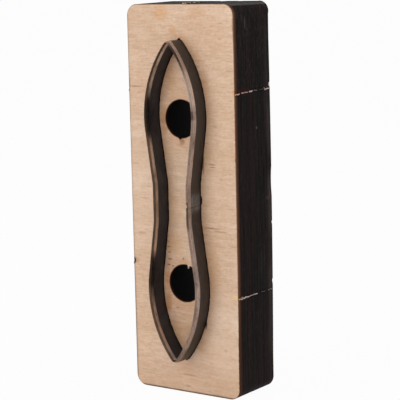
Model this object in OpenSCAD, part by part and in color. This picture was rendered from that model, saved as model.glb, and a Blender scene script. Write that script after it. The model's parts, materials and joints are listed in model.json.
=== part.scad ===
// Steel rule die for cutting small bow shapes from sheet stock.
// A plywood die board stands on its short end; a bevelled steel rule, bent to the
// outline of the bow, is pressed into a kerf in the board and stands out of its face.

/* [Board] */
// Width of the die board
board_w = 36; // [30:0.5:60]
// Height of the die board as it stands
board_h = 110; // [104:0.5:160]
// Thickness of the plywood
board_t = 17.5; // [15:0.1:19]
// Radius of the board's four corners
corner_r = 3.3; // [1:0.1:6]

/* [Push-out holes] */
// Diameter of each hole
hole_d = 10.6; // [6:0.1:12]
// Distance between the two holes
hole_pitch = 46.6; // [40:0.1:54]

/* [Cutting rule] */
// Height of the rule from its back edge to its cutting edge
rule_h = 23.8; // [22:0.1:32]
// Thickness of the rule
rule_t = 1.05; // [0.9:0.01:2.1]
// Height of the ground bevel on each side
bevel_h = 1.1; // [0.5:0.1:2]
// Height of the honed facets that meet at the cutting edge
hone_h = 0.6; // [0.1:0.05:0.8]
// Thickness of the rule where the honed facets begin
hone_t = 0.65; // [0.2:0.05:0.8]
// Gap between the rule's two butted ends
seam_gap = 0.1; // [0.05:0.01:0.3]
// Distance of the butt joint below the middle of the waist
seam_drop = 0.6; // [0.3:0.1:3]
// Length of the chipped corner along the cutting edge at the butt joint
chip_l = 1.6; // [0.5:0.1:2.5]
// Depth of the chipped corner at the butt joint
chip_d = 0.7; // [0.2:0.1:1.2]

/* [Cut outline, on the rule's centre line] */
// Place of the bow to the right of the board's middle
bow_x = -0.15; // [-2:0.05:2]
// Length of the bow from bent tip to bent tip
bow_l = 89.4; // [84:0.1:96]
// Width across each lobe
lobe_w = 16; // [14:0.1:20]
// Width across the waist
waist_w = 11.2; // [9:0.1:13]
// Distance between the widest points of the two lobes
lobe_pitch = 48; // [42:0.5:54]
// Length of the straight stretch at the waist
waist_l = 9; // [7:0.5:12]
// Radius of the bend out of the waist
waist_r = 10; // [5:0.5:14]
// Radius of the bend into the lobe
shoulder_r = 25; // [12:0.5:34]
// Inside radius of the bend at each tip
tip_inside_r = 0.35; // [0.3:0.05:1.5]

/* [Kerf and bridges] */
// Clearance between the rule and each wall of the kerf
kerf_clear = 0.05; // [0.02:0.01:0.15]
// Width of the burnt flare beyond each kerf wall at the face
mouth_w = 0.05; // [0.03:0.01:0.25]
// Depth of the burnt flare
mouth_d = 0.5; // [0.4:0.1:1.5]
// Length of the uncut bridges that hold the inside of the board
bridge_l = 6; // [4:0.5:8]
// Distance of the bridges from the middle of the board
bridge_offset = 14; // [11:0.5:18]
// Clearance round each bridge in the rule's notch
bridge_clear = 0.3; // [0.1:0.05:0.6]
// Diameter of the pinhole that the beam burns at each tip of the kerf
pinhole_d = 0.9; // [0.6:0.1:1.4]

/* [Snapped tabs] */
// Length of each side tab's stump along the board's edge
tab_l = 0.8; // [0.4:0.1:2]
// Height of each stump above the board's edge
tab_proud = 0.2; // [0.1:0.05:0.5]
// Length of the stump on the top end
top_tab_l = 2; // [1:0.5:6]
// Place of the top stump to the right of the middle
top_tab_x = 1.5; // [-8:0.1:8]
// Distance of the upper stump on each side from the top end
high_tab = 24; // [10:0.5:40]
// Height of the lower stump on the right side
right_tab = 29; // [10:0.5:40]
// Height of the lower stump on the left side
left_tab = 36; // [10:0.5:40]

/* [Hidden] */
$fn = 96;
wood = [0.80, 0.67, 0.57];
blued_steel = [0.23, 0.20, 0.18];
// Overrun of a cutting shape past the face that it opens
over = 1;
// Largest turn between two stations on the gentle bends and on the tip bends, in degrees
gentle_turn = 3;
tip_turn = 9;

// The die is drawn flat, with the board's back at height 0 and the board's middle at the
// origin; stand() then puts it upright with the cutting edge to the front.
waist_x = waist_w / 2;
waist_y = waist_l / 2;
lobe_x = lobe_w / 2;
lobe_y = lobe_pitch / 2;
tip_r = tip_inside_r + rule_t / 2;
tip_y = bow_l / 2 - tip_r;

// Lean of the straight flank that is tangent to the waist bend and the shoulder bend
bends_r = waist_r + shoulder_r;
bends_x = bends_r - (lobe_x - waist_x);
bends_y = lobe_y - waist_y;
flank_lean = atan2(bends_y, bends_x) - acos(bends_r / norm([bends_x, bends_y]));
// Radius of the outer arc that leaves the lobe upright and is tangent to the tip bend
lobe_rise = tip_y - lobe_y;
outer_r = (lobe_x * lobe_x + lobe_rise * lobe_rise - tip_r * tip_r) / (2 * (lobe_x - tip_r));
outer_sweep = atan2(lobe_rise, outer_r - lobe_x);

kerf_x = rule_t / 2 + kerf_clear;
mouth_x = kerf_x + mouth_w;
mouth_floor = board_t - mouth_d;
pinhole_y = bow_l / 2 + rule_t / 2;
seam_x = bow_x + waist_x - rule_t;
hole_y = hole_pitch / 2;

// Stations of a bend, each [x, y, direction of the outward normal]; the radius is negative
// where the bend's centre lies outside the bow
function bend(centre, radius, from, to, turn) =
    let (steps = ceil(abs(to - from) / turn))
    [for (i = [0:steps])
        let (n = from + (to - from) * i / steps)
        [centre.x + radius * cos(n), centre.y + radius * sin(n), n]];

function reversed(list) = [for (i = [len(list) - 1:-1:0]) list[i]];
function without_first(list) = [for (i = [1:len(list) - 1]) list[i]];

// Stations from the waist to the upper tip, on the right-hand side
quarter = concat(
    bend([waist_x + waist_r, waist_y], -waist_r, 0, -flank_lean, gentle_turn),
    bend([lobe_x - shoulder_r, lobe_y], shoulder_r, -flank_lean, 0, gentle_turn),
    without_first(bend([lobe_x - outer_r, lobe_y], outer_r, 0, outer_sweep, gentle_turn)),
    without_first(bend([0, tip_y], tip_r, outer_sweep, 90, tip_turn))
);
back_from_tip = without_first(reversed(quarter));

// Stations round the whole bow, anticlockwise from the right of the waist
bow = concat(
    quarter,
    [for (s = back_from_tip) [-s.x, s.y, 180 - s.z]],
    [for (s = quarter) [-s.x, -s.y, 180 + s.z]],
    [for (s = back_from_tip) [s.x, -s.y, -s.z]]
);

// Sweeps a section, drawn across the rule's thickness and up from its back, round the bow
module round_the_bow(section) {
    rings = len(bow);
    sides = len(section);
    polyhedron(
        points = [for (s = bow, p = section)
            [bow_x + s.x + p.x * cos(s.z), s.y + p.x * sin(s.z), p.y]],
        faces = [for (i = [0:rings - 1], j = [0:sides - 1])
            let (here = i * sides, next = (i + 1) % rings * sides, k = (j + 1) % sides)
            [here + j, here + k, next + k, next + j]],
        convexity = 8
    );
}

// Rule with its ground bevel and the honed facets at the cutting edge
bevel_foot = rule_h - hone_h - bevel_h;
rule_section = [
    [-rule_t / 2, 0], [rule_t / 2, 0],
    [rule_t / 2, bevel_foot], [hone_t / 2, rule_h - hone_h],
    [0, rule_h],
    [-hone_t / 2, rule_h - hone_h], [-rule_t / 2, bevel_foot]
];

// Kerf right through the board, with its burnt flare at the face
kerf_section = [
    [-kerf_x, -over], [kerf_x, -over],
    [kerf_x, mouth_floor], [mouth_x, board_t], [mouth_x, board_t + over],
    [-mouth_x, board_t + over], [-mouth_x, board_t], [-kerf_x, mouth_floor]
];

// Bands across the bow where the bridges lie, up to a height above the board's back
module bridge_bands(length, height) {
    for (end = [-1, 1])
        translate([-board_w / 2, end * bridge_offset - length / 2, -over])
            cube([board_w, length, height + over]);
}

// Stump of a snapped tab: a low ridge across the board's edge, with its foot at y = 0
module tab_stump(length) {
    translate([0, 0, tab_proud])
        linear_extrude(height = board_t - 2 * tab_proud)
            polygon([
                [-length / 2, -tab_proud], [length / 2, -tab_proud], [length / 2, 0],
                [length / 4, tab_proud], [-length / 4, tab_proud], [-length / 2, 0]
            ]);
}

// Puts a shape that was drawn flat upright on the board's lower end
module stand() {
    translate([0, board_t / 2, board_h / 2]) rotate([90, 0, 0]) children();
}

// The plywood blank with its round corners
module blank() {
    inner_w = board_w - 2 * corner_r;
    inner_h = board_h - 2 * corner_r;
    translate([-inner_w / 2, -board_h / 2, 0]) cube([inner_w, board_h, board_t]);
    translate([-board_w / 2, -inner_h / 2, 0]) cube([board_w, inner_h, board_t]);
    for (x = [-1, 1], y = [-1, 1])
        translate([x * inner_w / 2, y * inner_h / 2, 0]) cylinder(r = corner_r, h = board_t);
}

// Laser-cut plywood board: two push-out holes, and a kerf that the bridges interrupt
module die_board() {
    color(wood) stand() {
        difference() {
            blank();
            for (end = [-1, 1])
                translate([0, end * hole_y, -over]) cylinder(d = hole_d, h = board_t + 2 * over);
            difference() {
                round_the_bow(kerf_section);
                bridge_bands(bridge_l, mouth_floor);
            }
            for (end = [-1, 1])
                translate([bow_x, end * pinhole_y, -over])
                    cylinder(d = pinhole_d, h = board_t + 2 * over);
        }
        for (y = [right_tab - board_h / 2, board_h / 2 - high_tab])
            translate([board_w / 2, y, 0]) rotate([0, 0, -90]) tab_stump(tab_l);
        for (y = [left_tab - board_h / 2, board_h / 2 - high_tab])
            translate([-board_w / 2, y, 0]) rotate([0, 0, 90]) tab_stump(tab_l);
        translate([top_tab_x, board_h / 2, 0]) tab_stump(top_tab_l);
    }
}

// One strip of bevelled steel rule bent into a closed bow, notched over the bridges,
// with its ends butted at the right of the waist and one corner chipped there
module cutting_rule() {
    color(blued_steel) stand()
        difference() {
            round_the_bow(rule_section);
            bridge_bands(bridge_l + 2 * bridge_clear, mouth_floor + bridge_clear);
            translate([seam_x, -seam_drop - seam_gap / 2, -over])
                cube([2 * rule_t, seam_gap, rule_h + 2 * over]);
            translate([seam_x, -seam_drop, rule_h])
                rotate([90, 0, 90])
                    linear_extrude(height = 2 * rule_t)
                        polygon([[0, -chip_d], [chip_l, 0], [chip_l, over], [0, over]]);
        }
}

die_board();
cutting_rule();
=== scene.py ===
# Steel rule die: a plywood die board standing on its short end, with a bent and bevelled
# cutting rule pressed into a burnt kerf in its face.
import json
import math

import bmesh
import bpy
import numpy as np
from mathutils import Matrix, Vector, kdtree, noise
from mathutils.geometry import delaunay_2d_cdt


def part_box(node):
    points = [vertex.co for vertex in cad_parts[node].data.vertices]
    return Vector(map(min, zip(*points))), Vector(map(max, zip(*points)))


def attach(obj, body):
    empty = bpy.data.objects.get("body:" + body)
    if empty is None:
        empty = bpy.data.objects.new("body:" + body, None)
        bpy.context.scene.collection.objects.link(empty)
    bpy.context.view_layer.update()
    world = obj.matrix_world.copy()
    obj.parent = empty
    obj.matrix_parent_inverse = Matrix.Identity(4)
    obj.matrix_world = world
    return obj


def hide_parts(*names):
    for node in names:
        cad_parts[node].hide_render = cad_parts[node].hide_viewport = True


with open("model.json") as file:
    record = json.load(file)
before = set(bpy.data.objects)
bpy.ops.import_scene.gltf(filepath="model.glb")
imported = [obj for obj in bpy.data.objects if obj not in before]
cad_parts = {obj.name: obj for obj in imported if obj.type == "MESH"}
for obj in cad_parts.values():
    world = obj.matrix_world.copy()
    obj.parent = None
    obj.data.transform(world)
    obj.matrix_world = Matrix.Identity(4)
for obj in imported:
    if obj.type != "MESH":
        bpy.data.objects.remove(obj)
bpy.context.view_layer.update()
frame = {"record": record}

# Die board
# A block of thirteen-ply birch, laser cut to a rounded rectangle with two push-out holes and a
# narrow kerf for the rule, which uncut bridges interrupt. The beam chars every cut wall, and
# the stumps of the tabs that held the block in its sheet stand raw on its edges.
MM = 0.001
tab_proud = 0.2
board_low, board_high = (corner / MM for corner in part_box("die_board"))
front_y, back_y = board_low.y, board_high.y
half_w = board_high.x - tab_proud
half_h = (board_high.z - tab_proud) / 2
corner_r = 3.3
arris = 0.12
plies = 13
ply_t = (back_y - front_y) / plies

# Centre line of the cut, from the waist's middle up the right-hand side to the upper tip
rule_t = 1.05
rule_low, rule_high = (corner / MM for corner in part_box("cutting_rule"))
bow_x = (rule_low.x + rule_high.x) / 2
lobe_x = (rule_high.x - rule_low.x - rule_t) / 2
lobe_z = 24
waist_x = 5.6
waist_z = 4.5
waist_r = 10
shoulder_r = 25
tip_inside_r = 0.35
tip_r = tip_inside_r + rule_t / 2
tip_z = (rule_high.z - rule_low.z - rule_t) / 2 - tip_r
bridge_ends = (11, 17)
bridge_clear = 0.3
notch_ends = (bridge_ends[0] - bridge_clear, bridge_ends[1] + bridge_clear)
gentle_turn = 1
tip_turn = 6
between_stations = 0.6

bends_r = waist_r + shoulder_r
bends_x = bends_r - (lobe_x - waist_x)
bends_z = lobe_z - waist_z
flank_lean = math.atan2(bends_z, bends_x) - math.acos(bends_r / math.hypot(bends_x, bends_z))
lobe_rise = tip_z - lobe_z
outer_r = (lobe_x ** 2 + lobe_rise ** 2 - tip_r ** 2) / (2 * (lobe_x - tip_r))
outer_sweep = math.atan2(lobe_rise, outer_r - lobe_x)


def bend(centre, radius, start, stop, turn):
    """Stations [x, z, direction of the outward normal] of an arc; a negative radius bends inwards."""
    steps = math.ceil(abs(math.degrees(stop - start)) / turn)
    return [
        (centre[0] + radius * math.cos(a), centre[1] + radius * math.sin(a), a)
        for a in np.linspace(start, stop, steps + 1)
    ]


def spaced(start, stop, extra=()):
    """Places from start to stop, evenly spaced, with the extra ones among them."""
    steps = max(1, math.ceil(abs(stop - start) / between_stations))
    closest = between_stations / 4
    even = [
        p for p in np.linspace(start, stop, steps + 1) if all(abs(p - e) > closest for e in extra)
    ]
    return sorted([*even, *extra])


waist_bend = bend((waist_x + waist_r, waist_z), -waist_r, 0, -flank_lean, gentle_turn)
shoulder_bend = bend((lobe_x - shoulder_r, lobe_z), shoulder_r, -flank_lean, 0, gentle_turn)
outer_bend = bend((lobe_x - outer_r, lobe_z), outer_r, 0, outer_sweep, gentle_turn)
tip_bend = bend((0, tip_z), tip_r, outer_sweep, math.pi / 2, tip_turn)
flank_foot, flank_head = waist_bend[-1], shoulder_bend[0]
flank = [
    (
        float(np.interp(z, (flank_foot[1], flank_head[1]), (flank_foot[0], flank_head[0]))),
        z,
        -flank_lean,
    )
    for z in spaced(flank_foot[1], flank_head[1], bridge_ends + notch_ends)
]
waist = [(waist_x, z, 0.0) for z in spaced(0, waist_z)]
quarter = waist[:-1] + waist_bend[:-1] + flank[:-1] + shoulder_bend[:-1] + outer_bend[:-1] + tip_bend


def stations(points):
    """[x, z, nx, nz] for each [x, z, direction]."""
    return [(x, z, math.cos(a), math.sin(a)) for x, z, a in points]


whole_turn = (
    quarter
    + [(-x, z, math.pi - a) for x, z, a in quarter[-2::-1]]
    + [(-x, -z, math.pi + a) for x, z, a in quarter[1:]]
    + [(x, -z, -a) for x, z, a in quarter[-2:0:-1]]
)
bow = stations([(bow_x + x, z, a) for x, z, a in whole_turn])


def in_band(z, band):
    """Whether a height above or below the middle lies between the two ends of a band."""
    return band[0] < abs(z) < band[1]


# Outline of the block, with its places closer together at each stump
tab_l = 0.8
top_tab_l = 2.0
top_tab_x = 1.5
high_tab = 24
right_tab = 29
left_tab = 36
right_tabs = (right_tab - half_h, half_h - high_tab)
left_tabs = (left_tab - half_h, half_h - high_tab)
top_tabs = (top_tab_x,)
tab_reach = 1.2
tab_places = 25
corner_turn = 5
straight_w = half_w - corner_r
straight_h = half_h - corner_r


def edge(reach, tabs):
    """Places along one straight edge, from -reach to reach."""
    steps = np.linspace(-tab_reach, tab_reach, tab_places)
    fine = [round(t + step, 3) for t in tabs for step in steps]
    coarse = np.linspace(-reach, reach, math.ceil(2 * reach / between_stations) + 1)
    spare = [p for p in coarse if all(abs(p - t) > tab_reach + 0.05 for t in tabs)]
    return sorted(spare + fine)


def corner(x, z, start):
    """Stations round one corner of the block, without its two ends."""
    arc = bend((x * straight_w, z * straight_h), corner_r, start, start + math.pi / 2, corner_turn)
    return stations(arc[1:-1])


outline = (
    [(half_w, z, 1.0, 0.0) for z in edge(straight_h, right_tabs)]
    + corner(1, 1, 0)
    + [(x, half_h, 0.0, 1.0) for x in reversed(edge(straight_w, top_tabs))]
    + corner(-1, 1, math.pi / 2)
    + [(-half_w, z, -1.0, 0.0) for z in reversed(edge(straight_h, left_tabs))]
    + corner(-1, -1, math.pi)
    + [(x, -half_h, 0.0, -1.0) for x in edge(straight_w, ())]
    + corner(1, -1, 3 * math.pi / 2)
)

# Each stump tore in its own way: dashes of raw wood, as [start, stop, brightness] through the
# block, and a slant, as the fall from the middle of the block to its face
short_tear = (
    (0.0, 0.14, 0.95), (0.18, 0.36, 0.62), (0.39, 0.48, 1.1),
    (0.51, 0.62, 0.46), (0.66, 0.8, 0.38), (0.83, 0.98, 0.95),
)
long_tear = (
    (0.0, 0.27, 1.0), (0.285, 0.45, 0.66), (0.45, 0.53, 0.95),
    (0.62, 0.76, 0.4), (0.84, 0.97, 0.45),
)
end_tear = ((0.0, 0.24, 1.5), (0.3, 0.45, 1.3), (0.55, 0.65, 0.45))
tabs = [
    ((half_w, right_tabs[0]), tab_l, long_tear, 0.1),
    ((half_w, right_tabs[1]), tab_l, short_tear, 0.5),
    ((-half_w, left_tabs[0]), tab_l, short_tear, 0),
    ((-half_w, left_tabs[1]), tab_l, long_tear, 0.2),
    ((top_tabs[0], half_h), top_tab_l, end_tear, 0),
]

# Round holes; the beam pierced the upper one at its foot, which left a small pointed nick
hole_sides = 180
nick_l = 0.45
nick_place = 1.47 * math.pi
nick_turn = math.radians(7)
holes = [
    (m["pos_m"][2] / MM - half_h, m["dims"]["r_mm"])
    for m in frame["record"]["mounts"]
    if m["kind"] == "bore"
]


def hole_loop(z, radius):
    """Stations round one hole, with their normals out of the wood, towards its middle."""
    loop = []
    for a in np.linspace(0, 2 * math.pi, hole_sides, endpoint=False):
        from_nick = abs(a - nick_place)
        nick = nick_l * max(0, 1 - from_nick / nick_turn) if z > 0 else 0
        reach = radius + nick
        loop.append((reach * math.cos(a), z + reach * math.sin(a), -math.cos(a), -math.sin(a)))
    return loop


# Kerf walls, and the pinhole that the beam burnt where it paused at each tip
kerf_clear = 0.05
kerf_x = rule_t / 2 + kerf_clear
mouth_w = 0.05
mouth_d = 0.5
mouth_y = front_y + mouth_d
pinhole_r = 0.38
pinhole_z = tip_z + tip_r + rule_t / 2


def kerf_wall(side):
    """Stations along one wall of the kerf, with normals out of the wood.

    Side is 1 outside the bow and -1 inside it."""
    wall = []
    for x, z, nx, nz in bow:
        reach = kerf_x
        if side > 0:
            to_x, to_z = x - bow_x, z - math.copysign(pinhole_z, z)
            ahead = to_x * nx + to_z * nz
            root = ahead ** 2 - (to_x ** 2 + to_z ** 2 - pinhole_r ** 2)
            if root > 0:
                reach = max(kerf_x, math.sqrt(root) - ahead - mouth_w)
        wall.append((x + side * reach * nx, z + side * reach * nz, -side * nx, -side * nz))
    return wall


def inset(loop, depth):
    """A loop of stations moved into the wood, as [x, z] points."""
    return [(x - nx * depth, z - nz * depth) for x, z, nx, nz in loop]


weld = 0.002


class Solid:
    """A mesh under construction, in millimetres, with a value of each attribute at every point."""

    def __init__(self, *attributes):
        self.mesh = bmesh.new()
        self.layers = [self.mesh.verts.layers.float.new(name) for name in attributes]

    def point(self, x, y, z, *values):
        made = self.mesh.verts.new((x, y, z + half_h))
        for layer, value in zip(self.layers, values):
            made[layer] = value
        return made

    def strip(self, row, next_row, closed=True, keep=None, finish=0):
        """Quads between two rows of points, where keep says which of them are wanted."""
        count = len(row)
        for i in range(count if closed else count - 1):
            k = (i + 1) % count
            if keep is None or keep[i]:
                self.face(row[i], row[k], next_row[k], next_row[i], finish=finish)

    def face(self, *corners, finish=0):
        made = self.mesh.faces.new(corners)
        made.material_index = finish
        made.smooth = True

    def finished(self, name, materials, sharp=math.radians(25)):
        """The welded object, in metres, with its edges creased where they turn sharply."""
        bmesh.ops.remove_doubles(self.mesh, verts=self.mesh.verts, dist=weld)
        bmesh.ops.recalc_face_normals(self.mesh, faces=self.mesh.faces)
        bmesh.ops.scale(self.mesh, vec=(MM, MM, MM), verts=self.mesh.verts)
        for joint in self.mesh.edges:
            joint.smooth = len(joint.link_faces) == 2 and joint.calc_face_angle() < sharp
        data = bpy.data.meshes.new(name)
        self.mesh.to_mesh(data)
        self.mesh.free()
        for material in materials:
            data.materials.append(material)
        made = bpy.data.objects.new(name, data)
        bpy.context.scene.collection.objects.link(made)
        return made


# How far a point of the block is from a cut, less than 0 on a cut wall; how far it is from the
# smoke of the kerf and the holes; and how raw the wood is there
block = Solid("cut_gap", "smoke_gap", "raw_wood")
# Distance between the places on a cut that the points are measured from
between_places = 0.08


def inside(points, loops):
    """Whether each point lies within an odd number of the loops."""
    odd = np.zeros(len(points), bool)
    for loop in loops:
        a = np.array(loop)
        b = np.roll(a, -1, axis=0)
        for (ax, az), (bx, bz) in zip(a, b):
            if az != bz:
                across = (points[:, 1] < az) != (points[:, 1] < bz)
                odd ^= across & (points[:, 0] < ax + (points[:, 1] - az) * (bx - ax) / (bz - az))
    return odd


def nearest_cut(loops):
    """A tree of closely spaced places on the loops, for measuring how far a point is from a cut."""
    places = []
    for loop in loops:
        for (ax, az), (bx, bz) in zip(loop, loop[1:] + loop[:1]):
            steps = max(1, round(math.hypot(bx - ax, bz - az) / between_places))
            for i in range(steps):
                places.append((ax + (bx - ax) * i / steps, az + (bz - az) * i / steps))
    tree = kdtree.KDTree(len(places))
    for i, (x, z) in enumerate(places):
        tree.insert((x, z, 0), i)
    tree.balance()
    return tree


# Chips out of the cut edges, as a place, a reach, a depth and how raw the wood is in it; the last
# is a splinter that stands into the lower hole
chips = (
    ((half_w, back_y, 60 - half_h), 4.2, 0.2, 0),
    ((half_w, back_y, 48 - half_h), 0.5, 0.2, 0.3),
    ((half_w, back_y, 31.2 - half_h), 0.6, 0.22, 0.3),
    ((half_w, front_y, 67.6 - half_h), 0.4, 0.2, 0),
    ((-half_w, back_y, 72 - half_h), 1.0, 0.4, 0.2),
    ((half_w, back_y, 87.2 - half_h), 1.0, 0.1, 1.0),
    ((1.8, back_y, half_h), 2.4, 0.12, 0),
    ((9, back_y, half_h), 0.9, 0.35, 0.2),
    ((1.3, front_y + 0.2, 36.84 - half_h), 0.45, -0.95, 1.6),
)


def chipped(x, y, z):
    """How deep a cut edge is chipped at a place, and how raw the wood is there."""
    for middle, reach, depth, raw in chips:
        away = math.dist((x, y, z), middle) / reach
        if away < 1:
            return depth * (1 - away ** 2), raw * (1 - away ** 2)
    return 0, 0


# Rings of points beside every cut, the grid between them, and how the fill is asked for
ring_gaps = (0.12, 0.3, 0.6, 1.1)
grid_gap = 1.2
triangles_within = 1
fill_weld = 1e-5


def veneer(y, loops, burnt):
    """A flat face of the block, filled between its loops, with closer points beside every cut.

    Smoke is measured from the burnt loops alone."""
    tree = nearest_cut(loops)
    smoke_tree = nearest_cut(burnt)
    points, edges = [], []
    for loop in loops:
        first = len(points)
        points += loop
        edges += [(first + i, first + (i + 1) % len(loop)) for i in range(len(loop))]
    for loop in loops:
        here = np.array(loop)
        run = np.roll(here, -1, axis=0) - np.roll(here, 1, axis=0)
        side = np.stack([run[:, 1], -run[:, 0]], 1) / np.linalg.norm(run, axis=1)[:, None]
        for gap in ring_gaps:
            for ring in (here + side * gap, here - side * gap):
                points += [tuple(p) for p in ring if tree.find((*p, 0))[2] > 0.85 * gap]
    for x in np.arange(-half_w, half_w, grid_gap):
        for z in np.arange(-half_h, half_h, grid_gap):
            if tree.find((x, z, 0))[2] > ring_gaps[-1] + grid_gap / 3:
                points.append((x, z))
    corners, _, faces, *_ = delaunay_2d_cdt(
        [Vector(p) for p in points], edges, [], triangles_within, fill_weld
    )
    middles = np.array([sum((corners[i] for i in f), Vector((0, 0))) / len(f) for f in faces])
    wanted = inside(middles, loops)
    used = {i for f, want in zip(faces, wanted) if want for i in f}
    made = {}
    for i in used:
        place = (*corners[i], 0)
        gaps = (tree.find(place)[2], smoke_tree.find(place)[2])
        raw = chipped(corners[i].x, y, corners[i].y)[1]
        made[i] = block.point(corners[i].x, y, corners[i].y, *gaps, raw)
    for f, want in zip(faces, wanted):
        if want:
            block.face(*(made[i] for i in f))


# Cut walls: ply by ply, with grooves at the glue lines and the beam's ripple
glue_groove = 0.02
groove_w = 0.1
ripple = 0.04
smooth_rim = 0.4

# The beam strayed as it sank in, so the outline grows a little towards the back
top_stray = 0.27
right_stray = 0.3
corner_stray = 0.3
stray_reach = 45


def stray(y, z, nx, nz):
    """How far the outline has grown at a depth."""
    share = (y - front_y) / (back_y - front_y)
    to_right, to_top = max(0, nx), max(0, nz)
    bulge = to_right * max(0, 1 - (z / stray_reach) ** 2)
    return share * (top_stray * to_top + right_stray * bulge + corner_stray * 2 * to_right * to_top)


def rim(loop, y, relief):
    """A loop of stations moved in by the arris and the chips, as [x, z] points."""
    points = []
    for x, z, nx, nz in loop:
        depth = arris + chipped(x, y, z)[0] - relief * stray(y, z, nx, nz)
        points.append((x - nx * depth, z - nz * depth))
    return points


# Rows of points down a wall, as a depth into the wood and a place through the block
rim_rows = [(arris, front_y), (0.3 * arris, front_y + 0.3 * arris), (0, front_y + arris)]
ply_shares = (0, 0.16, 0.5, 0.84)
ply_rows = [(0, front_y + ply_t * (ply + share)) for ply in range(plies) for share in ply_shares]
wall_rows = (
    rim_rows
    + [row for row in ply_rows if front_y + arris < row[1] < back_y - arris]
    + [(depth, -y) for depth, y in reversed(rim_rows)]
)

# Depth of the pits beside a stump, and the smoke_gap of the outline's walls
tab_pit = 0.12
clear_of_smoke = 9


def stump(x, z, y):
    """How far a snapped tab stands out at a place on the edge, and how much raw wood shows there."""
    share = (y - front_y) / (back_y - front_y)
    for (tab_x, tab_z), length, tear, slant in tabs:
        fray = 0.2 * noise.noise((tab_x, y * 0.9, tab_z)) + slant * max(0, 1 - 2 * share)
        away = math.hypot(x - tab_x, z - tab_z + fray) / (length / 2)
        if away < 2 and front_y + tab_proud / 2 <= y <= back_y - tab_proud:
            bright = max([b for begin, end, b in tear if begin <= share <= end], default=0)
            ridge = min(1, max(0, 2 - 2 * away))
            pit = math.exp(-(((away - 1.2) / 0.3) ** 2))
            torn = min(1, max(0, 1.7 - 3.6 * away))
            fleck = noise.noise((x * 2, y * 1.6, z * 3.2)) - 0.25
            torn = max(torn, min(0.8, 4 * fleck) * max(0, 1.9 - away))
            return tab_proud * ridge * (0.5 + 0.5 * bright) - tab_pit * pit, torn * bright
    return 0, 0


def cut_wall(loop, relief):
    """A charred wall swept along a loop, with as much of the outline's roughness as the relief says."""
    last = None
    for depth, y in wall_rows:
        row = []
        below = min(y - front_y, back_y - y)
        for x, z, nx, nz in loop:
            into, raw = depth, 0
            if below > 0:
                from_glue = abs((y - front_y) / ply_t - round((y - front_y) / ply_t)) * ply_t
                groove = glue_groove * math.exp(-((from_glue / groove_w) ** 2)) * min(1, below)
                rough = ripple * noise.noise((x * 1.7, y * 0.35, z * 1.7))
                into += relief * min(1, below / smooth_rim) * (groove + abs(rough))
                out, raw = stump(x, z, y)
                into -= relief * out
            chip, chip_raw = chipped(x, y, z)
            into += chip - relief * stray(y, z, nx, nz)
            values = (-max(below, 0.01), relief * clear_of_smoke, max(raw, chip_raw))
            row.append(block.point(x - nx * into, y, z - nz * into, *values))
        if last:
            block.strip(last, row)
        last = row


hole_loops = [hole_loop(*hole) for hole in holes]

# The kerf runs round the whole bow at the face, and goes through only between the bridges, so each
# run of stations between two of them is a slot in the back
kerf_walls = [kerf_wall(1), kerf_wall(-1)]
through = [not in_band((a[1] + b[1]) / 2, bridge_ends) for a, b in zip(bow, bow[1:] + bow[:1])]
slots = []
for i in range(len(bow)):
    if through[i]:
        if not through[i - 1]:
            slots.append([i])
        if slots:
            slots[-1].append(i + 1)
first_bridge = through.index(False)
slots[-1] += range(len(bow) + 1, len(bow) + first_bridge + 1)
slot_loops = []
for run in slots:
    outer, inner = ([wall[i % len(bow)][:2] for i in run] for wall in kerf_walls)
    slot_loops.append(outer + inner[::-1])

front_cuts = [inset(wall, mouth_w) for wall in kerf_walls]
front_cuts += [rim(loop, front_y, 0) for loop in hole_loops]
back_cuts = slot_loops + [rim(loop, back_y, 0) for loop in hole_loops]
veneer(front_y, [rim(outline, front_y, 1), *front_cuts], front_cuts)
veneer(back_y, [rim(outline, back_y, 1), *back_cuts], back_cuts)
cut_wall(outline, 1)
for loop in hole_loops:
    cut_wall(loop, 0)

# Walls of the kerf: its burnt mouth all round, then the slots, the bridges' tops and their ends
mouth_rows = ((mouth_w, front_y), (0.3 * mouth_w, front_y + 0.2), (0, mouth_y))
deep_rows = ((0, mouth_y), (0, 0), (0, back_y))
mouths = []
for wall in kerf_walls:
    rows = []
    for depth, y in mouth_rows + deep_rows:
        rows.append([block.point(x, y, z, -1, 0, 0) for x, z in inset(wall, depth)])
    for upper, lower in zip(rows[:2], rows[1:3]):
        block.strip(upper, lower)
    for upper, lower in zip(rows[3:5], rows[4:6]):
        block.strip(upper, lower, keep=through)
    mouths.append(rows[3:])
block.strip(mouths[0][0], mouths[1][0], keep=[not t for t in through])
for i in range(len(bow)):
    if through[i] != through[i - 1]:
        for upper, lower in ((0, 1), (1, 2)):
            outer, inner = mouths
            block.face(outer[upper][i], inner[upper][i], inner[lower][i], outer[lower][i])


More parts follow.
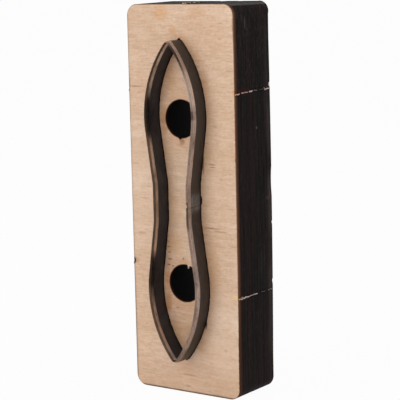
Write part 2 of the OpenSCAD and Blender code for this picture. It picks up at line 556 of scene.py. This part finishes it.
# Birch plywood: a pale rotary-cut face veneer with its grain across the block, scorched beside
# every cut; on the cut walls a dark brown face ply, and char in streaks along the plies behind it.
class Wire:
    """A socket in a material's nodes; Python's operators on it add Math nodes."""

    def __init__(self, tree, socket=None):
        self.tree = tree
        self.socket = socket

    def node(self, kind, settings, sockets, output=0):
        """A new node: its settings are set first, then its sockets are given values or links."""
        made = self.tree.nodes.new(kind)
        for name, value in settings.items():
            setattr(made, name, value)
        for name, value in sockets.items():
            if isinstance(value, Wire):
                self.tree.links.new(value.socket, made.inputs[name])
            else:
                made.inputs[name].default_value = value
        return Wire(self.tree, made.outputs[output] if made.outputs else None)

    def maths(self, operation, *values):
        return self.node("ShaderNodeMath", {"operation": operation}, dict(enumerate(values)))

    def __add__(self, other):
        return self.maths("ADD", self, other)

    def __radd__(self, other):
        return self.maths("ADD", other, self)

    def __sub__(self, other):
        return self.maths("SUBTRACT", self, other)

    def __rsub__(self, other):
        return self.maths("SUBTRACT", other, self)

    def __mul__(self, other):
        return self.maths("MULTIPLY", self, other)

    def __rmul__(self, other):
        return self.maths("MULTIPLY", other, self)

    def __truediv__(self, other):
        return self.maths("DIVIDE", self, other)

    def __rtruediv__(self, other):
        return self.maths("DIVIDE", other, self)

    def __abs__(self):
        return self.maths("ABSOLUTE", self)

    def fade(self, start, stop):
        """0 at start to 1 at stop, with soft ends."""
        settings = {"interpolation_type": "SMOOTHSTEP"}
        sockets = {"Value": self, "From Min": start, "From Max": stop}
        if start > stop:
            sockets.update({"From Min": stop, "From Max": start, "To Min": 1.0, "To Max": 0.0})
        return self.node("ShaderNodeMapRange", settings, sockets)

    def mix(self, share, under, over):
        """One colour over another, by the share of the upper one."""
        return self.node("ShaderNodeMix", {"data_type": "RGBA"}, {0: share, 6: under, 7: over}, 2)

    def point(self, x, y, z):
        return self.node("ShaderNodeCombineXYZ", {}, {0: x, 1: y, 2: z})

    def cloud(self, place, detail=2.0, roughness=0.5):
        """Noise from 0 to 1 at a place."""
        sockets = {"Vector": place, "Scale": 1.0, "Detail": detail, "Roughness": roughness}
        return self.node("ShaderNodeTexNoise", {}, sockets)

    def attribute(self, name):
        return self.node("ShaderNodeAttribute", {"attribute_name": name}, {}, "Fac")


def colour(red, green, blue):
    """A colour as it looks on a screen, 0 to 255, in the renderer's linear values."""
    screen = [value / 255 for value in (red, green, blue)]
    return (*(v / 12.92 if v <= 0.04045 else ((v + 0.055) / 1.055) ** 2.4 for v in screen), 1.0)


def new_material(name):
    """A bare material, and the wire to add its nodes with."""
    made = bpy.data.materials.new(name)
    made.use_nodes = True
    made.node_tree.nodes.clear()
    return made, Wire(made.node_tree)


def millimetres(wire):
    """The place on the object in millimetres, as three wires."""
    place = wire.node("ShaderNodeTexCoord", {}, {}, "Object")
    parts = wire.node("ShaderNodeSeparateXYZ", {}, {0: place})
    return [Wire(wire.tree, socket) / MM for socket in parts.socket.node.outputs]


def surface(wire, **sockets):
    """The material's shader, linked to its output."""
    named = {name.replace("_", " "): value for name, value in sockets.items()}
    shader = wire.node("ShaderNodeBsdfPrincipled", {}, named)
    wire.node("ShaderNodeOutputMaterial", {}, {"Surface": shader})


# Darker streaks of the grain, as a place [x, z], a reach along and across it, and a strength
grain_marks = (
    ((10.0, 66.0), (1.6, 0.26), 0.9), ((10.2, 65.3), (1.4, 0.24), 0.9),
    ((9.5, 48.2), (3.4, 0.32), 0.7), ((12.5, 47.4), (2.8, 0.32), 0.5),
    ((0.9, 5.2), (3.6, 0.4), 0.6), ((0.2, 1.9), (1.2, 0.4), 0.5),
    ((-15.5, 87.0), (2.8, 0.3), 0.6), ((-16.3, 65.0), (1.8, 0.26), 0.5),
    ((-12.9, 58.6), (2.6, 0.5), 0.35), ((-13.5, 55.2), (2.2, 0.3), 0.45),
    ((-15.0, 45.0), (1.8, 0.6), 0.45), ((13.5, 13.8), (0.7, 0.6), 0.5),
    ((11.3, 76.5), (1.2, 0.3), 0.4), ((14.0, 63.4), (1.6, 0.25), 0.4),
    ((-2.7, 24.5), (0.9, 0.3), 0.8), ((3.5, 19.5), (2.8, 0.3), 0.4),
    ((-5.8, 44.8), (0.8, 0.24), 1.0), ((-5.6, 43.3), (0.7, 0.22), 0.9),
    ((-5.4, 41.8), (0.8, 0.24), 1.1), ((-5.2, 40.2), (0.8, 0.24), 1.1),
    ((-5.1, 38.2), (1.0, 0.26), 1.3), ((-5.5, 36.6), (0.7, 0.28), 1.4),
    ((-0.4, 38.7), (0.45, 0.36), 1.1), ((-4.1, 36.3), (0.45, 0.32), 1.1),
)
# Stains, paler places and painted light and shade on the veneer, as a place [x, z], a reach along and
# across the grain, a strength and a colour. The pale patch right of the lower tip is painted light over
# the lamp's shadow there, and the brown and dark marks beside the walls are scorch with painted shade.
stains_and_painted_light = (
    ((-14.0, 58.0), (7.0, 24.0), 0.24, colour(238, 212, 190)),
    ((-3.0, 52.0), (3.0, 4.5), 0.35, colour(228, 190, 156)),
    # Smoke with painted shade just inside the left wall
    ((-5.6, 77.5), (1.4, 5.0), 0.5, colour(196, 134, 76)),
    ((-3.0, 89.0), (2.0, 5.0), 0.3, colour(200, 144, 90)),
    ((-3.0, 42.5), (3.5, 4.5), 0.35, colour(206, 150, 92)),
    # Smoke with painted shade just inside the left wall
    ((-5.8, 25.5), (1.6, 3.8), 0.62, colour(190, 126, 72)),
    ((10.0, 38.0), (3.5, 9.0), 0.3, colour(206, 156, 104)),
    ((0.1, 72.1), (1.2, 1.4), 0.8, colour(150, 104, 66)),
    # Scorch with painted shade at the right wall's foot, in this line and the next
    ((6.9, 21.0), (0.5, 2.2), 1.2, colour(40, 26, 18)),
    ((7.1, 67.2), (0.5, 5.0), 0.8, colour(70, 44, 28)),
    ((-13.0, 104.0), (9.0, 10.0), 0.3, colour(202, 168, 140)),
    ((0.0, 2.0), (26.0, 13.0), 0.4, colour(190, 154, 126)),
    ((0.0, 21.0), (7.0, 12.0), 0.4, colour(176, 128, 86)),
    ((0.0, 92.0), (6.0, 10.0), 0.25, colour(188, 138, 94)),
    ((-1.5, 63.3), (3.4, 8.0), 0.14, colour(168, 152, 118)),
    ((13.0, 72.0), (8.0, 34.0), 0.22, colour(214, 174, 134)),
    ((13.0, 18.0), (7.0, 16.0), 0.3, colour(238, 210, 186)),
    ((-6.1, 107.8), (3.4, 3.0), 0.34, colour(220, 154, 84)),
    ((-2.6, 103.0), (1.5, 1.6), 0.4, colour(208, 146, 84)),
    ((5.6, 107.8), (4.0, 2.2), 0.36, colour(200, 144, 94)),
    ((17.4, 29.3), (2.4, 0.8), 0.75, colour(238, 200, 138)),
    ((18.0, 86.0), (1.3, 1.4), 0.7, colour(216, 152, 96)),
    ((-17.2, 36.8), (1.6, 1.3), 0.5, colour(176, 128, 92)),
    ((-18.0, 36.8), (0.9, 1.3), 1.8, colour(50, 30, 20)),
    # Smoke with painted shade right of the right wall
    ((8.2, 88.6), (1.6, 4.0), 0.3, colour(186, 128, 80)),
    # Smoke with painted shade just inside the left wall
    ((-5.7, 31.8), (1.2, 4.6), 0.6, colour(206, 128, 70)),
    ((6.1, 55.8), (0.55, 1.5), 2.2, colour(10, 6, 5)),
    ((18.0, 104.5), (0.6, 6.0), 0.6, colour(84, 52, 32)),
    ((18.0, 7.0), (0.4, 20.0), 1.2, colour(84, 52, 32)),
    # Painted light: a pale patch over the lamp's shadow right of the lower tip
    ((1.4, 11.0), (5.0, 3.2), 0.55, colour(244, 214, 188)),
)
# Marks on the right-hand side, as a place [y, z], a reach across and along the plies, a strength
# and a colour
side_marks = (
    ((-3.1, 104.6), (0.55, 2.4), 0.7, colour(96, 88, 86)),
    ((-4.6, 106.0), (0.4, 1.4), 0.6, colour(80, 72, 70)),
    ((1.7, 75.6), (0.4, 0.5), 1.1, colour(104, 100, 98)),
    ((4.8, 60.8), (0.7, 5.6), 2.0, colour(2, 1, 1)),
    ((6.9, 55.4), (1.7, 0.8), 0.8, colour(92, 68, 60)),
    ((8.0, 56.4), (0.7, 0.9), 0.7, colour(104, 82, 74)),
    ((3.0, 37.0), (1.2, 5.0), 0.35, colour(60, 56, 58)),
    ((-2.0, 88.6), (0.4, 0.9), 0.5, colour(64, 40, 34)),
    ((-4.5, 85.9), (5.0, 1.3), 1.1, colour(62, 28, 22)),
    ((-6.0, 29.0), (2.6, 1.1), 0.9, colour(58, 32, 22)),
)


def birch_ply():
    made, wire = new_material("birch_ply")
    x, y, z = millimetres(wire)
    gap = wire.attribute("cut_gap")
    smoke_gap = wire.attribute("smoke_gap")
    raw = wire.attribute("raw_wood")
    outside = smoke_gap.fade(0.0, 1.0)
    on_front = y.fade(0.0, front_y)
    on_right = x.fade(half_w - 1, half_w - 0.5)
    depth = y - front_y

    # Face veneer: broad bands, mottling, fine fibres, short dark pores and grit along the grain
    sway = wire.cloud(wire.point(x * 0.03, y * 0.1, z * 0.05)) * 1.2
    band = wire.cloud(wire.point(x * 0.03, y * 0.3, (z + sway) * 0.22), 3.0, 0.6)
    mottle = wire.cloud(wire.point(x * 0.3, y, z * 0.6), 3.0, 0.6)
    fibre = wire.cloud(wire.point(x * 0.22, y, (z + sway) * 1.5), 3.0, 0.65)
    hair = wire.cloud(wire.point(x * 0.3, y, (z + sway) * 4.5), 2.0, 0.6)
    pore = wire.cloud(wire.point(x * 0.4, y, z * 3 + 30), 1.0).fade(0.62, 0.72)
    blush = wire.cloud(wire.point(x * 0.07, y, z * 0.07), 1.0)
    wood = wire.mix(band.fade(0.3, 0.7), colour(236, 207, 183), colour(222, 190, 163))
    wood = wire.mix(blush.fade(0.35, 0.75) * 0.5, wood, colour(222, 186, 154))
    wood = wire.mix(mottle.fade(0.42, 0.75) * 0.36, wood, colour(200, 164, 134))
    wood = wire.mix(fibre.fade(0.38, 0.7) * 0.25, wood, colour(194, 154, 120))
    wood = wire.mix(hair.fade(0.42, 0.72) * 0.22, wood, colour(180, 138, 104))
    wood = wire.mix(pore * 0.28, wood, colour(164, 118, 84))
    grit = wire.cloud(wire.point(x * 1.1, y, z * 1.8 + 60), 2.0, 0.6)
    wood = wire.mix(grit.fade(0.46, 0.72) * 0.2, wood, colour(186, 146, 114))
    wood = wire.mix(grit.fade(0.46, 0.26) * 0.2, wood, colour(248, 222, 198))

    ragged = (mottle - 0.5) * 0.8
    ragged_z = z + (hair - 0.5) * 0.5

    def patch(place, reach, along, across):
        """1 at a place on a flat side, fading out over its reach both ways."""
        along = (along - place[0]) / reach[0]
        across = (across - place[1]) / reach[1]
        return (along * along + across * across).fade(1.0, 0.0)

    for place, reach, share in grain_marks:
        mark = patch(place, reach, x, z) * on_front
        wood = wire.mix(mark * (fibre + 0.35) * share, wood, colour(150, 104, 72))

    # Scorch: smoke beside the kerf and the holes, stains with painted light and shade among them, a
    # darker foot and left edge, and a brown rim along every cut
    flicker = wire.cloud(wire.point(x * 0.5, y, z * 0.7), 3.0)
    smoke = smoke_gap.fade(4.5, 0.0) * (0.06 + flicker * 0.46)
    face = wire.mix(smoke, wood, colour(182, 115, 52))
    for place, reach, share, veneer_tint in stains_and_painted_light:
        spread = patch(place, reach, x + ragged * reach[0], ragged_z + ragged * min(2, reach[1]))
        face = wire.mix(spread * on_front * (fibre + 0.4) * share, face, veneer_tint)
    dark_foot = z.fade(0.75, 0.2) * (0.5 + flicker * 0.7)
    face = wire.mix(dark_foot, face, colour(84, 62, 50))
    brown_rim = (gap + outside * 0.06 - flicker * 0.14).fade(0.12, -0.08)
    face = wire.mix(brown_rim * 0.9, face, colour(80, 48, 30))
    left_rim = x.fade(0.85 - half_w, -half_w) * on_front
    snapped_z = 87.8
    left_darkening = 0.3 + z.fade(42, 22) * 0.4 + abs(z - snapped_z).fade(1.8, 0.6) * 0.55
    face = wire.mix(left_rim * left_darkening, face, colour(104, 84, 74))

    # Cut walls: charred unevenly, with streaks along the layers, a grey bloom at the back, grey ash
    # flecks that grow towards the top as a painted sheen, and a painted sheen along the top; nearly
    # black inside the holes and the kerf, partly painted shade; the face ply is only browned, with a
    # painted highlight along its front edge on the right
    streak = wire.cloud(wire.point(x * 0.08, y * 1.5, z * 0.09), 4.0, 0.7)
    blotch = wire.cloud(wire.point(x * 0.1, y * 0.3, z * 0.07 + 7), 3.0)
    rust = wire.cloud(wire.point(x * 0.1, y * 0.5, z * 0.03 + 40), 2.0).fade(0.45, 0.68)
    ash = wire.cloud(wire.point(x * 0.3, y * 2.4, z * 0.1), 3.0, 0.65).fade(0.55, 0.76)
    char = wire.mix(streak.fade(0.36, 0.66), colour(6, 4, 4), colour(33, 25, 25))
    char = wire.mix(rust * 0.6, char, colour(38, 20, 18))
    char = wire.mix(ash * blotch.fade(0.35, 0.65) * 0.6, char, colour(58, 50, 50))
    back_bloom = (back_y - y).fade(3.2, 0.8) * (back_y - y).fade(0.2, 0.7)
    char = wire.mix(back_bloom * blotch.fade(0.3, 0.6) * 0.8, char, colour(68, 60, 58))
    # Grey flecks of ash, growing stronger towards the top as a painted sheen
    fleck = wire.cloud(wire.point(x * 0.6, y * 1.6, z * 0.5 + 3), 3.0, 0.7).fade(0.5, 0.72)
    char = wire.mix(fleck * (0.35 + z.fade(80, 100) * 0.5), char, colour(55, 47, 44))
    # Painted sheen: a grey band along the top of the right-hand side
    top_sheen_z = 2 * half_h - 0.3
    painted_top_sheen = abs(z - top_sheen_z).fade(0.45, 0.1) * x.fade(11, 14)
    char = wire.mix(painted_top_sheen * (0.2 + streak * 0.7), char, colour(110, 102, 99))
    # Nearly black inside the holes and the kerf: char, darkened further as painted shade in these
    # recesses
    char = wire.mix((1 - outside) * 0.8, char, colour(3, 2, 2))
    char = wire.mix((1 - outside) * depth.fade(1.0, 0.2) * 0.6, char, colour(72, 32, 18))
    face_ply = (depth + streak * 0.8 + blotch * 0.6).fade(ply_t * 1.75, ply_t * 0.75) * outside
    foot_char = 0.55 + z.fade(10, 27) * 0.45
    char = wire.mix(face_ply * (0.6 + flicker * 0.6) * foot_char, char, colour(102, 64, 44))
    # Painted highlight along the front edge of the right-hand side
    edge_highlight = depth.fade(0.5, 0.1) * on_right * z.fade(22, 34)
    char = wire.mix(edge_highlight * 0.35, char, colour(176, 134, 104))
    for place, reach, share, mark in side_marks:
        spread = patch(place, reach, y + (streak - 0.5) * 0.6, ragged_z)
        char = wire.mix(spread * on_right * (ash + 0.5) * share, char, mark)
    on_wall = gap.fade(0.02, -0.08)
    base = wire.mix(on_wall, face, char)

    # Raw wood where a tab snapped or an edge chipped, more orange near the face
    fray = wire.cloud(wire.point(x * 3, y * 2.2, z * 6), 2.0)
    near_face = depth.fade(2.5, 0.5) * outside
    torn = wire.mix(near_face * 0.6, colour(214, 196, 186), colour(220, 158, 102))
    base = wire.mix((raw * (fray + 0.5)).fade(0.25, 0.8), base, torn)

    grain_height = fibre * 0.3 + hair * 0.4 - pore * 0.6
    height = grain_height * (1 - on_wall) * 0.02 + streak * on_wall * 0.1
    bump = wire.node("ShaderNodeBump", {}, {"Strength": 0.5, "Distance": MM, "Height": height})
    surface(
        wire,
        Base_Color=base,
        Roughness=0.58 + on_wall * 0.2 - fibre * 0.06,
        Specular_IOR_Level=0.08,
        Normal=bump,
    )
    return made


plywood_block = block.finished("plywood_block", [birch_ply()])
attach(plywood_block, "root")
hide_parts("die_board")

# Cutting rule
# One strip of hardened, blued steel rule, ground to a long centre bevel and honed at the edge.
# It was bent on a bender into the bow, notched at the back over the bridges, and pressed into
# the kerf with its two ends butted at the right of the waist, where one corner is chipped.
rule_h = rule_high.y - rule_low.y
bevel_h = 1.1
hone_h = 0.6
hone_t = 0.65
notch_h = back_y - mouth_y + bridge_clear
seam_x = bow_x + waist_x
seam_z = -0.6
seam_gap = 0.1
chip_l = 1.6
chip_d = 0.7
bevel_foot = rule_h - hone_h - bevel_h
hone_foot = rule_h - hone_h

# Stations along the strip, from its chipped end up round the bow to its square end; the chip cuts
# the honed facets off up to bare_top, and its floor shows bare steel with a painted glint up to
# glint_top
bare_top = seam_z + chip_l * (1 - hone_h / chip_d)
glint_top = seam_z + 0.55 * chip_l
chip_top = seam_z + chip_l
chip_places = (seam_z + seam_gap / 2, bare_top, glint_top, chip_top)
after_chip = len(chip_places)
glint_end = chip_places.index(glint_top)
strip = (
    [(seam_x, z, 1.0, 0.0) for z in chip_places]
    + [s for s in bow if not (s[0] > 0 and seam_z - seam_gap < s[1] < chip_top + 0.05)]
    + [(seam_x, seam_z - seam_gap / 2, 1.0, 0.0)]
)


def half_thickness(height):
    """Half the rule's thickness at a height above its back edge."""
    return float(np.interp(height, (bevel_foot, hone_foot, rule_h), (rule_t / 2, hone_t / 2, 0)))


blade = Solid()
blade_rows = []
for i, (x, z, nx, nz) in enumerate(strip):
    top = rule_h
    if i < after_chip:
        top -= chip_d * (1 - (z - seam_z) / chip_l)
    heights = [0, notch_h, bevel_foot, min(hone_foot, top)]
    section = [(half_thickness(h), h) for h in heights]
    section += [(0, top)] + [(-across, h) for across, h in section[::-1]]
    blade_rows.append([blade.point(x + a * nx, back_y - h, z + a * nz) for a, h in section])

outer_face, outer_bevel, outer_hone, inner_hone, inner_bevel, inner_face, broken_edge = range(7)
side_finish = (
    outer_face, outer_face, outer_bevel, outer_hone,
    inner_hone, inner_bevel, inner_face, inner_face,
)


def finish_at(i, finish):
    """The finish of one side after station i; the chip's floor is bare steel with a painted glint
    inside, and painted shade outside.
    """
    if finish == inner_hone and i < glint_end:
        return broken_edge
    if finish == outer_hone and i < after_chip - 1:
        return inner_hone
    return finish


notched = [in_band((a[1] + b[1]) / 2, notch_ends) for a, b in zip(strip, strip[1:])]
for i, cut_away in enumerate(notched):
    here, ahead = blade_rows[i], blade_rows[i + 1]
    for j, finish in enumerate(side_finish):
        if not (cut_away and j in (0, len(side_finish) - 1)):
            sides = (here[j], here[j + 1], ahead[j + 1], ahead[j])
            blade.face(*sides, finish=finish_at(i, finish))
    outer, inner = (1, -2) if cut_away else (0, -1)
    blade.face(here[outer], ahead[outer], ahead[inner], here[inner])
    if i and cut_away != notched[i - 1]:
        blade.face(here[0], here[1], here[-2], here[-1])
blade.face(*blade_rows[0])
blade.face(*blade_rows[-1])

# Places on the standing die: the butt joint, the paler patch beside it, and the middle of the bevel
joint_z = half_h + seam_z
pale_patch_z = joint_z + 1
bevel_y = rule_low.y + hone_h + bevel_h / 2


def rule_steel(name, steel, roughness, metallic, specular, joint_paling=0, dull=0, crown=0, marks=(), matt=()):
    """Steel of one finish on the rule.

    Joint_paling is how far a patch at the joint is paler, and dull how far the right-hand side is darker
    below the joint and at two places above it. Crown is how far the bevel is browned beside its middle.
    Marks, as a height, a reach, a share and a colour, tint the rule there, and matt places, as a height,
    a reach and a share, look less metallic."""
    made, wire = new_material(name)
    x, y, z = millimetres(wire)
    patch = wire.cloud(wire.point(x * 0.25, y * 0.3, z * 0.16), 3.0, 0.6)
    speck = wire.cloud(wire.point(x * 3, y * 3, z * 3), 2.0, 0.6)
    scuff = wire.cloud(wire.point(x * 0.6, y * 1.2, z * 0.5 + 9), 3.0, 0.65)
    lines = wire.cloud(wire.point(x * 0.4, y * 6, z * 0.4), 2.0)
    base = wire.mix(patch.fade(0.4, 0.7) * 0.4, steel, colour(70, 58, 50))
    base = wire.mix(scuff.fade(0.5, 0.7) * 0.4, base, colour(64, 60, 62))
    base = wire.mix(speck.fade(0.55, 0.75) * 0.3, base, colour(30, 26, 24))
    if joint_paling:
        pale_mask = abs(z - pale_patch_z).fade(3.3, 1.0) * lines.fade(0.3, 0.6)
        base = wire.mix(pale_mask * joint_paling, base, colour(150, 148, 150))
    if crown:
        ridge = abs(y - bevel_y).fade(0.6, 0.1)
        base = wire.mix((1 - ridge) * crown, base, colour(100, 84, 74))
    for middle, reach, share, mark in marks:
        base = wire.mix(abs(z - middle).fade(reach, reach / 2) * share, base, mark)
    if dull:
        below_joint = z.fade(47.5, 49.5) * z.fade(joint_z + 0.2, joint_z - 0.1)
        above_joint = abs(z - 80).fade(1.6, 0.8) + abs(z - 95.5).fade(7.5, 1.5)
        darkened = (below_joint + above_joint) * x.fade(0, 1)
        base = wire.mix(darkened * dull, base, colour(58, 44, 38))
    # Soot and painted shade darken the rule where it meets the face of the board
    soot_and_shade_at_foot = (y - front_y).fade(-0.7, 0.0)
    base = wire.mix(soot_and_shade_at_foot * 0.8, base, colour(10, 8, 7))
    for middle, reach, share in matt:
        metallic = metallic - abs(z - middle).fade(reach, reach / 2) * share
    height = lines * 0.5 + speck * 0.5
    bump = wire.node("ShaderNodeBump", {}, {"Strength": 0.06, "Distance": 0.02 * MM, "Height": height})
    surface(
        wire,
        Base_Color=base,
        Metallic=metallic,
        Roughness=roughness + (patch - 0.5) * 0.1 + (speck - 0.5) * 0.04,
        Specular_IOR_Level=specular,
        Normal=bump,
    )
    return made


# Marks on the finishes: a painted glint on the upper bends, a painted dark reflection on the lobes, and
# darker places at the upper and lower tips
# Colour of the painted glint on the upper bends
painted_glint = colour(250, 240, 236)
near_black = colour(20, 19, 20)
dull_brown = colour(60, 48, 42)
# Painted dark reflection of the holes on the lobes; the upper tip is only darker
dark_reflection_lobes = ((79, 6.8, 0.6, near_black), (35.5, 6.5, 0.58, near_black))
darker_upper_tip = (96.7, 3.0, 0.75, near_black)
darker_low_tip = (11.5, 3.4, 0.4, dull_brown)
# The two sides are one steel, painted as lit and shaded copies: the inside is painted darker and bluer
# as painted shade, with its bevel paler to lift it out of that shade, and the hones are painted darker
# than the bevels as a painted dark reflection
rule_finishes = [
    rule_steel("blued_outside", colour(34, 31, 30), 0.42, 0.2, 0.75, joint_paling=0.5),
    rule_steel(
        "bevel_outside", colour(188, 181, 185), 0.24, 1.0, 0.5, dull=0.2,
        marks=((88, 6.5, 0.4, painted_glint), darker_low_tip),
    ),
    rule_steel(
        "hone_outside", colour(146, 123, 110), 0.26, 1.0, 0.5, dull=0.7,
        marks=((88, 6.5, 0.15, painted_glint), darker_low_tip, darker_upper_tip),
    ),
    rule_steel("hone_inside", colour(104, 84, 70), 0.3, 1.0, 0.5, marks=dark_reflection_lobes),
    rule_steel(
        "bevel_inside", colour(226, 213, 206), 0.32, 1.0, 0.5, crown=0.5,
        marks=dark_reflection_lobes, matt=((92, 9, 0.26), (12, 3.2, 0.3)),
    ),
    rule_steel("blued_inside", colour(22, 29, 39), 0.45, 0.0, 0.4),
    rule_steel("broken_edge", colour(205, 194, 182), 0.35, 1.0, 0.5),
]
bow_rule = blade.finished("bow_rule", rule_finishes, sharp=math.radians(10))
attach(bow_rule, "root")
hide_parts("cutting_rule")

# Studio
# A plain white sweep under a large soft lamp to the left of the camera, with a weaker one on the
# right; the white of the sweep is seen by the camera and in reflections.
floor_reach = 6.0
floor_mesh = bpy.data.meshes.new("floor")
floor_mesh.from_pydata(
    [(-floor_reach, -floor_reach, 0), (floor_reach, -floor_reach, 0),
     (floor_reach, floor_reach, 0), (-floor_reach, floor_reach, 0)],
    [], [(0, 1, 2, 3)],
)
floor = bpy.data.objects.new("floor", floor_mesh)
bpy.context.scene.collection.objects.link(floor)


def seen_directly(wire):
    """1 for what the camera, a reflection or clear glass sees, and 0 for light on a surface."""
    sight = [
        wire.node("ShaderNodeLightPath", {}, {}, ray)
        for ray in ("Is Camera Ray", "Is Glossy Ray", "Is Transmission Ray")
    ]
    return sight[0].maths("MAXIMUM", sight[0].maths("MAXIMUM", sight[0], sight[1]), sight[2])


white_share = 0.955
paper, wire = new_material("white_sweep")
shaded = wire.node("ShaderNodeBsdfDiffuse", {}, {"Color": (0.85, 0.85, 0.85, 1)})
white = wire.node("ShaderNodeEmission", {}, {"Color": (1, 1, 1, 1), "Strength": 1.0})
share = seen_directly(wire) * white_share
sweep = wire.node("ShaderNodeMixShader", {}, {0: share, 1: shaded, 2: white})
wire.node("ShaderNodeOutputMaterial", {}, {"Surface": sweep})
floor_mesh.materials.append(paper)

world = bpy.data.worlds.new("studio")
bpy.context.scene.world = world
world.use_nodes = True
world.node_tree.nodes.clear()
wire = Wire(world.node_tree)
room_light = 0.62
room = wire.node("ShaderNodeBackground", {}, {"Color": (1, 1, 1, 1), "Strength": room_light})
backdrop = wire.node("ShaderNodeBackground", {}, {"Color": (1, 1, 1, 1), "Strength": 1.0})
both = wire.node("ShaderNodeMixShader", {}, {0: seen_directly(wire), 1: room, 2: backdrop})
wire.node("ShaderNodeOutputWorld", {}, {"Surface": both})

aim = Vector((0, front_y, half_h)) * MM


def softbox(name, place, size, watts):
    """A square lamp at a place, turned to the middle of the block."""
    lamp = bpy.data.lights.new(name, "AREA")
    lamp.size = size
    lamp.energy = watts
    made = bpy.data.objects.new(name, lamp)
    made.location = place
    made.rotation_euler = (aim - Vector(place)).to_track_quat("-Z", "Y").to_euler()
    bpy.context.scene.collection.objects.link(made)


softbox("key", (-0.26, -0.75, 0.24), size=0.6, watts=2.6)
softbox("fill", (0.45, -0.65, 0.30), size=0.5, watts=0.3)

# Camera
# It stands a little above the block and to its right, with a long lens and a slight roll.
photo_px = 400
focal_px = 1539.58
yaw, pitch, roll = 0.61611, 0.15262, 0.02255
eye = Vector((250.05, -353.75, 120.93)) * MM
sight_line = Vector((
    -math.sin(yaw) * math.cos(pitch),
    math.cos(yaw) * math.cos(pitch),
    -math.sin(pitch),
))
level = sight_line.cross(Vector((0, 0, 1))).normalized()
down = sight_line.cross(level)
right = level * math.cos(roll) + down * math.sin(roll)
up = level * math.sin(roll) - down * math.cos(roll)
camera_data = bpy.data.cameras.new("camera")
camera_data.sensor_width = 36
camera_data.lens = focal_px / photo_px * camera_data.sensor_width
camera_data.clip_start = 0.01
camera = bpy.data.objects.new("camera", camera_data)
bpy.context.scene.collection.objects.link(camera)
camera.matrix_world = Matrix((right, up, -sight_line)).transposed().to_4x4()
camera.location = eye
bpy.context.scene.camera = camera
bpy.context.scene.view_settings.view_transform = "Standard"
